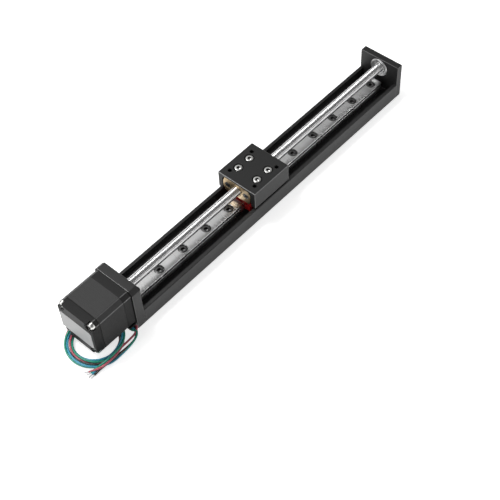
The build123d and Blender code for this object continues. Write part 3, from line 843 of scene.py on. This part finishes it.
def build_lead_screw():
    """The threaded screw with its journal in the motor, from end to end."""
    count = 32
    rings_per_pitch = 6
    journal = 2.5 * MM
    journal_edge = 0.3 * MM
    run_out = 0.4 * MM
    end_edge = 0.4 * MM
    shoulder = front_cap_high.x - motor_boss_height - 0.6 * MM
    start = plate_high.x + 2.0 * MM
    end = screw_high.x - 6.5 * MM
    steps = round((end - start) / thread_pitch * rings_per_pitch)
    turned = [(screw_low.x, journal - journal_edge), (screw_low.x + journal_edge, journal)]
    turned += [(shoulder, journal), (shoulder, screw_radius), (start - run_out, screw_radius)]
    rings = round_rings(turned, count)
    for step in range(steps + 1):
        x = start + (end - start) * step / steps
        ring = []
        for k in range(count):
            angle = 2 * math.pi * k / count
            radius = screw_radius - thread_depth * thread_cut(x, start, k / count)
            ring.append((radius * math.cos(angle), radius * math.sin(angle)))
        rings.append((x, ring))
    turned = [(end + run_out, screw_radius), (screw_high.x - end_edge, screw_radius)]
    turned.append((screw_high.x, screw_radius - end_edge))
    rings += round_rings(turned, count)
    bm = bmesh.new()
    stack(bm, rings, (0, 0, screw_height), (1, 0, 0))
    screw = new_object("threaded_screw", bm, screw_steel, "screw", 50.0)
    replace(screw, "lead_screw")


# End bearing


def sleeve(name, profiles, material, body, node, count=96):
    """Rings round the lead screw's axis, each turned from a closed profile of (x, radius) pairs."""
    bm = bmesh.new()
    for profile in profiles:
        lathe(bm, profile, (0, 0, screw_height), (1, 0, 0), count, closed=True)
    replace(new_object(name, bm, material, body), node)


def build_end_bearing():
    """The end bearing's outer ring, inner ring and dished shields."""
    start, end = bearing_low.x, bearing_high.x
    wall = 1.2 * MM
    lip = 0.2 * MM
    outer = (bearing_high.z - bearing_low.z) / 2
    race = outer - wall
    edge = 0.3 * MM
    race_edge = 0.15 * MM
    profile = [(start + edge, outer), (end - edge, outer), (end - edge * 0.3, outer - edge * 0.3)]
    profile += [(end, outer - edge), (end, race + lip), (end - race_edge, race), (start + race_edge, race)]
    profile += [(start, race + lip), (start, outer - edge)]
    sleeve("bearing_outer", [profile], bearing_steel, "base", "end_bearing_outer_ring")

    bore = screw_radius + fit
    inner_race = bore + wall
    edge = 0.1 * MM
    profile = [(start, bore + lip), (start, inner_race - edge), (start + edge, inner_race)]
    profile += [(end - edge, inner_race), (end, inner_race - edge), (end, bore + lip)]
    profile += [(end - lip, bore), (start + lip, bore)]
    sleeve("bearing_inner", [profile], bearing_steel, "screw", "end_bearing_inner_ring")

    shield_low, shield_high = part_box("end_bearing_shields")
    thick = 0.3 * MM
    dish = 0.14 * MM
    inside = inner_race + 0.3 * MM
    profile = [(0.0, race), (0.0, race - 0.25 * MM), (dish, race - 0.35 * MM), (dish, inside)]
    profile += [(thick, inside), (thick, race)]
    near = [(shield_low.x + depth, radius) for depth, radius in profile]
    far = [(shield_high.x - depth, radius) for depth, radius in profile]
    sleeve("bearing_shields", [near, far], bearing_steel, "base", "end_bearing_shields")


# Guide block and its ends


def straddle(low, high, gap, corner, lowered=0.0):
    """The outline of a piece that straddles the rail, that gap off it, with its corners cut."""
    half_rail = (rail_high.y - rail_low.y) / 2 + gap
    roof = rail_high.z + gap
    top = high.z - lowered
    foot = 0.3 * MM
    side = [(half_rail, low.z), (high.y - foot, low.z), (high.y, low.z + foot)]
    side += [(high.y, top - corner), (high.y - corner, top)]
    return side + [(-y, z) for y, z in reversed(side)] + [(-half_rail, roof), (half_rail, roof)]


def build_guide_block():
    """The steel body of the guide block."""
    start, end = block_low.x, block_high.x
    outline = straddle(block_low, block_high, 0.3 * MM, 0.5 * MM)
    block = rounded_prism("block_body", outline, start, end, 0.15 * MM, block_steel, "carriage", segments=1)
    replace(block, "guide_block")


def build_end_caps():
    """The block's two red end caps, each with two small screws in counterbored holes."""
    bore = 0.55 * MM
    bore_depth = 2.5 * MM
    counterbore = (1.0 * MM, 0.7 * MM)
    screw = cap_screw(end_cap_screw, end_cap_shank, 0.1 * MM, 24)
    screw_y = (rail_high.y + block_high.y) / 2
    screw_z = rail_high.z + 1.3 * MM
    for name, low, high, outward in (
        ("block_end_cap_rear", cap_rear_low, cap_rear_high, -1),
        ("block_end_cap_front", cap_front_low, cap_front_high, 1),
    ):
        face = high.x if outward > 0 else low.x
        outline = straddle(low, high, 0.3 * MM, 1.2 * MM)
        cap = rounded_prism(f"{name}_body", outline, low.x, high.x, 0.3 * MM, red_plastic, "carriage")
        cuts = bmesh.new()
        for y in (-screw_y, screw_y):
            hole(cuts, (face, y, screw_z), (-outward, 0, 0), bore, bore_depth, 0.05 * MM, counterbore, 32)
        carve(cap, cuts)
        replace(cap, name)
        seats = [(face - outward * counterbore[1], y, screw_z) for y in (-screw_y, screw_y)]
        screws = screw_set(f"{name}_screws", screw, seats, (outward, 0, 0), nickel, "carriage")


def build_seals():
    """The lips at the two ends of the guide block."""
    low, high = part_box("block_end_seals")
    outline = straddle(low, high, 0.15 * MM, 0.5 * MM, 2.2 * MM)
    bm = bmesh.new()
    for start, end in ((low.x, cap_rear_low.x), (cap_front_high.x, high.x)):
        prism(bm, outline, start, end)
    bevel(bm, 0.1 * MM, 1)
    seals = new_object("block_seal_lips", bm, red_plastic, "carriage")
    replace(seals, "block_end_seals")


# Carriage, its screws and the nut


def corners(pitch_x, pitch_y):
    """Four places round the middle of the carriage's top."""
    return [(carriage_middle + i * pitch_x / 2, j * pitch_y / 2) for i in (-1, 1) for j in (-1, 1)]


nut_screw_centres = [(side * nut_screw_pitch / 2, screw_height) for side in (-1, 1)]


def nut_recess(half, top, corner, bottom):
    """The outline of the recess for the nut's flange, open below and with round upper corners."""
    outline = [(-half, bottom), (half, bottom)]
    for side, first in ((1, 0.0), (-1, math.pi / 2)):
        for k in range(9):
            angle = first + math.pi / 2 * k / 8
            y = side * (half - corner) + corner * math.cos(angle)
            outline.append((y, top - corner + corner * math.sin(angle)))
    return outline


def build_carriage():
    """The carriage block with its recess, bores and counterbored holes, and its four cap screws."""
    low, high = carriage_low, carriage_high
    outline = rectangle(low, high)
    carriage = rounded_prism("carriage_body", outline, low.z, high.z, 0.4 * MM, anodised, "carriage", "Z")
    over = through / 2
    recess_depth = 3.0 * MM
    recess = nut_recess(11.4 * MM, screw_height + 5.5 * MM, 2.5 * MM, low.z - over)
    cuts = bmesh.new()
    prism(cuts, recess, low.x - over, low.x + recess_depth)
    carve(carriage, cuts)

    bore = nut_barrel_radius + fit
    depth = high.x - low.x - recess_depth + over
    cuts = bmesh.new()
    hole(cuts, (high.x, 0, screw_height), (-1, 0, 0), bore, depth, 0.3 * MM, count=72)
    for y, z in nut_screw_centres:
        hole(cuts, (low.x + recess_depth, y, z), (1, 0, 0), small_radius, 4.0 * MM, 0.05 * MM)
    tapped = mount_hole_radius - 0.25 * MM
    for x, y in corners(mount_hole_pitch, mount_hole_pitch):
        hole(cuts, (x, y, high.z), (0, 0, -1), tapped, mount_hole_depth, 0.3 * MM)
    bore = carriage_bore_radius + fit
    depth = high.z - low.z + over
    counterbore = (carriage_counterbore_radius, carriage_counterbore_depth)
    screw_centres = corners(carriage_screw_pitch_x, carriage_screw_pitch_y)
    for x, y in screw_centres:
        hole(cuts, (x, y, high.z), (0, 0, -1), bore, depth, 0.25 * MM, counterbore)
    carve(carriage, cuts)
    paint_edge_highlights(carriage, low, high)
    replace(carriage, "carriage")

    seats = [(x, y, high.z - carriage_counterbore_depth) for x, y in screw_centres]
    cap_screws(
        "carriage", nickel, "carriage", seats, (0, 0, 1), carriage_shank, carriage_screw
    )


def build_nut():
    """The nut, with its flange cut flat above and below, and its two countersunk screws."""
    flange = (nut_high.y - nut_low.y) / 2
    flats = (nut_high.z - nut_low.z) / 2
    opening = math.asin(flats / flange)
    outline = []
    for side in (0.0, math.pi):
        for k in range(17):
            angle = side - opening + 2 * opening * k / 16
            outline.append((flange * math.cos(angle), screw_height + flange * math.sin(angle)))
    barrel_start = nut_low.x + nut_flange_thickness
    bore = screw_radius + 0.05 * MM
    depth = nut_flange_thickness + through / 2
    nut = rounded_prism("nut_flange_plate", outline, nut_low.x, barrel_start, 0.25 * MM, brass, "carriage")
    cuts = bmesh.new()
    hole(cuts, (nut_low.x, 0, screw_height), (1, 0, 0), bore, depth, 0.35 * MM, count=64)
    for y, z in nut_screw_centres:
        hole(cuts, (nut_low.x, y, z), (1, 0, 0), small_radius + fit, depth, 1.0 * MM)
    carve(nut, cuts)
    replace(nut, "lead_nut")

    edge = 0.4 * MM
    bore_rim = 0.3 * MM
    outer = nut_barrel_radius
    profile = [(barrel_start, outer), (nut_high.x - edge, outer), (nut_high.x, outer - edge)]
    profile += [(nut_high.x, bore + bore_rim), (nut_high.x - bore_rim, bore), (barrel_start, bore)]
    sleeve("nut_barrel", [profile], brass, "carriage", "lead_nut", 64)

    count = 48
    turned = [(-6.5 * MM, 1.0 * MM), (-1.0 * MM, small_radius)]
    turned += [(-0.05 * MM, small_head - 0.1 * MM), (0, small_head - 0.15 * MM)]
    rings = round_rings(turned, count) + hexagon_rings([(0, 1.65 * MM), (-0.8 * MM, 1.5 * MM)], count)
    rings += round_rings([(-1.0 * MM, 0.1 * MM)], count)
    seats = [(nut_low.x + 0.05 * MM, y, z) for y, z in nut_screw_centres]
    heads = screw_set("nut_countersunk_screws", rings, seats, (-1, 0, 0), black_oxide, "carriage")
    replace(heads, "nut_screws")


# Motor


def motor_outline(inset=0.0):
    """The motor's square with cut and eased corners, across the slide."""
    corner_edge = 0.3 * MM
    half = (stator_high.y - stator_low.y) / 2 - inset
    cut = motor_corner - inset * (2 - math.sqrt(2))
    points = []
    for a, b in ((1, 1), (-1, 1), (-1, -1), (1, -1)):
        ends = [(a * half, b * (half - cut)), (a * (half - cut), b * half)]
        points += ends if a * b > 0 else ends[::-1]
    outline = []
    for k, (y, z) in enumerate(points):
        for other in (points[k - 1], points[(k + 1) % len(points)]):
            away = Vector(other) - Vector((y, z))
            eased = Vector((y, z)) + away.normalized() * corner_edge
            outline.append((eased.x, screw_height + eased.y))
    return outline


def build_motor_stack():
    """The stator's laminations: thin sheets with a fine step between them, every second one set in."""
    sheets = 35
    gap_depth = 0.035 * MM
    sheet_inset = 0.02 * MM
    sheet_edge = 0.06 * MM
    pitch = (stator_high.x - stator_low.x) / sheets
    sections = []
    for k in range(sheets):
        x = stator_low.x + k * pitch
        outline = motor_outline(sheet_inset * (k % 2))
        sections += [(x, motor_outline(gap_depth)), (x + sheet_edge, outline)]
        sections.append((x + pitch - sheet_edge, outline))
    sections.append((stator_high.x, motor_outline(gap_depth)))
    rings = [(x, [(z, -y) for y, z in outline]) for x, outline in sections]
    bm = bmesh.new()
    stack(bm, rings, (0, 0, 0), (1, 0, 0))
    core = new_object("lamination_stack", bm, laminations, "base", 20.0)
    paint_corner_highlights(core)
    replace(core, "motor_stator")


def build_motor_caps():
    """The motor's front cap with its boss, and its rear cap with a screw pocket in each corner."""
    boss_edge = 0.2 * MM
    boss = [(motor_front - boss_edge, motor_boss_radius), (front_cap_high.x - boss_edge, motor_boss_radius)]
    boss.append((front_cap_high.x, motor_boss_radius - boss_edge))
    bm = bmesh.new()
    prism(bm, motor_outline(), front_cap_low.x, motor_front)
    bevel(bm, 0.4 * MM)
    lathe(bm, boss, (0, 0, screw_height), (1, 0, 0), 96)
    front = new_object("motor_front_cap_body", bm, motor_black, "base")
    cuts = bmesh.new()
    mouth = (front_cap_high.x, 0, screw_height)
    hole(cuts, mouth, (-1, 0, 0), motor_bore_radius, 3.0 * MM, bore_edge, count=64)
    carve(front, cuts)
    paint_corner_highlights(front)
    replace(front, "motor_front_cap")

    start, end = rear_cap_low.x, rear_cap_high.x
    rear = rounded_prism(
        "motor_rear_cap_body", motor_outline(), start, end, 0.6 * MM, motor_black, "base", segments=3
    )
    bore_depth = 5.9 * MM
    pocket = (pocket_radius, pocket_depth)
    cuts = bmesh.new()
    for y, z in case_screw_centres:
        hole(cuts, (start, y, z), (1, 0, 0), small_radius + fit, bore_depth, 0.3 * MM, pocket)
    carve(rear, cuts)
    paint_corner_highlights(rear)
    replace(rear, "motor_rear_cap")


def cross_ring(reach, half_width, count):
    """Points round a cross, at the angles of a round ring."""
    ring = []
    for k in range(count):
        angle = 2 * math.pi * (k + 0.5) / count
        large, small = sorted((abs(math.cos(angle)), abs(math.sin(angle))), reverse=True)
        radius = min(reach / large, half_width / small)
        ring.append((radius * math.cos(angle), radius * math.sin(angle)))
    return ring


def build_case_screws():
    """Pan head screws with a cross recess, in the rear cap's corner pockets."""
    count = 64
    shank = 22.0 * MM
    point = 0.4 * MM
    head_height = 2.4 * MM
    recess_depth = 1.1 * MM
    seats = [(rear_cap_low.x + pocket_depth, y, z) for y, z in case_screw_centres]
    turned = [(-shank, 1.0 * MM), (point - shank, small_radius), (0, small_radius), (0, small_head)]
    turned += [(0.8 * MM, small_head), (1.5 * MM, small_head * 0.95), (2.0 * MM, small_head * 0.82)]
    turned.append((head_height - 0.05 * MM, small_head * 0.64))
    rings = round_rings(turned, count)
    rings.append((head_height, cross_ring(1.2 * MM, 0.32 * MM, count)))
    rings.append((head_height - recess_depth, cross_ring(0.8 * MM, 0.26 * MM, count)))
    heads = screw_set("case_pan_screws", rings, seats, (-1, 0, 0), nickel, "base")
    shade_sockets(heads, seats, (-1, 0, 0), 1.2 * MM, 1.4 * MM, head_height - 0.02 * MM)
    replace(heads, "motor_case_screws")


def build_label():
    """The bare plate on the motor's rear face, with cut corners and a bevelled rim."""
    cut = 1.2 * MM
    proud = 0.1 * MM
    start, end = label_low.x - proud, label_high.x
    outline = plate_outline(label_low, label_high, cut, cut)
    plate = rounded_prism("rear_plate", outline, start, end, 0.06 * MM, label_plate, "base")
    replace(plate, "motor_label")


def build_outlet():
    """The moulded grommet that the leads leave through."""
    outline = rectangle(outlet_low, outlet_high)
    low, high = outlet_low.z, outlet_high.z
    grommet = rounded_prism("lead_grommet", outline, low, high, 0.4 * MM, black_plastic, "base", "Z", 3)
    replace(grommet, "lead_outlet")


# Nodes that keep their CAD shape, with their materials
kept_nodes = {
    "base_channel": anodised_long,
    "motor_windings": copper,
    "rotor_magnet": magnet,
    "rotor_cups": laminations,
    "guide_balls": bearing_steel,
    "end_bearing_balls": bearing_steel,
    "motor_bearing_balls": bearing_steel,
    "motor_bearing_outer_rings": bearing_steel,
    "motor_bearing_inner_rings": bearing_steel,
    "motor_wave_washer": bearing_steel,
}

bpy.context.scene.view_settings.view_transform = "Standard"
build_camera()
build_light()
build_floor()
build_leads()
build_end_plate()
build_mount_plate()
build_plate_screws()
build_rail()
build_lead_screw()
build_end_bearing()
build_guide_block()
build_end_caps()
build_seals()
build_carriage()
build_nut()
build_motor_stack()
build_motor_caps()
build_case_screws()
build_label()
build_outlet()
for node, material in kept_nodes.items():
    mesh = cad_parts[node].data
    mesh.materials.clear()
    mesh.materials.append(material)
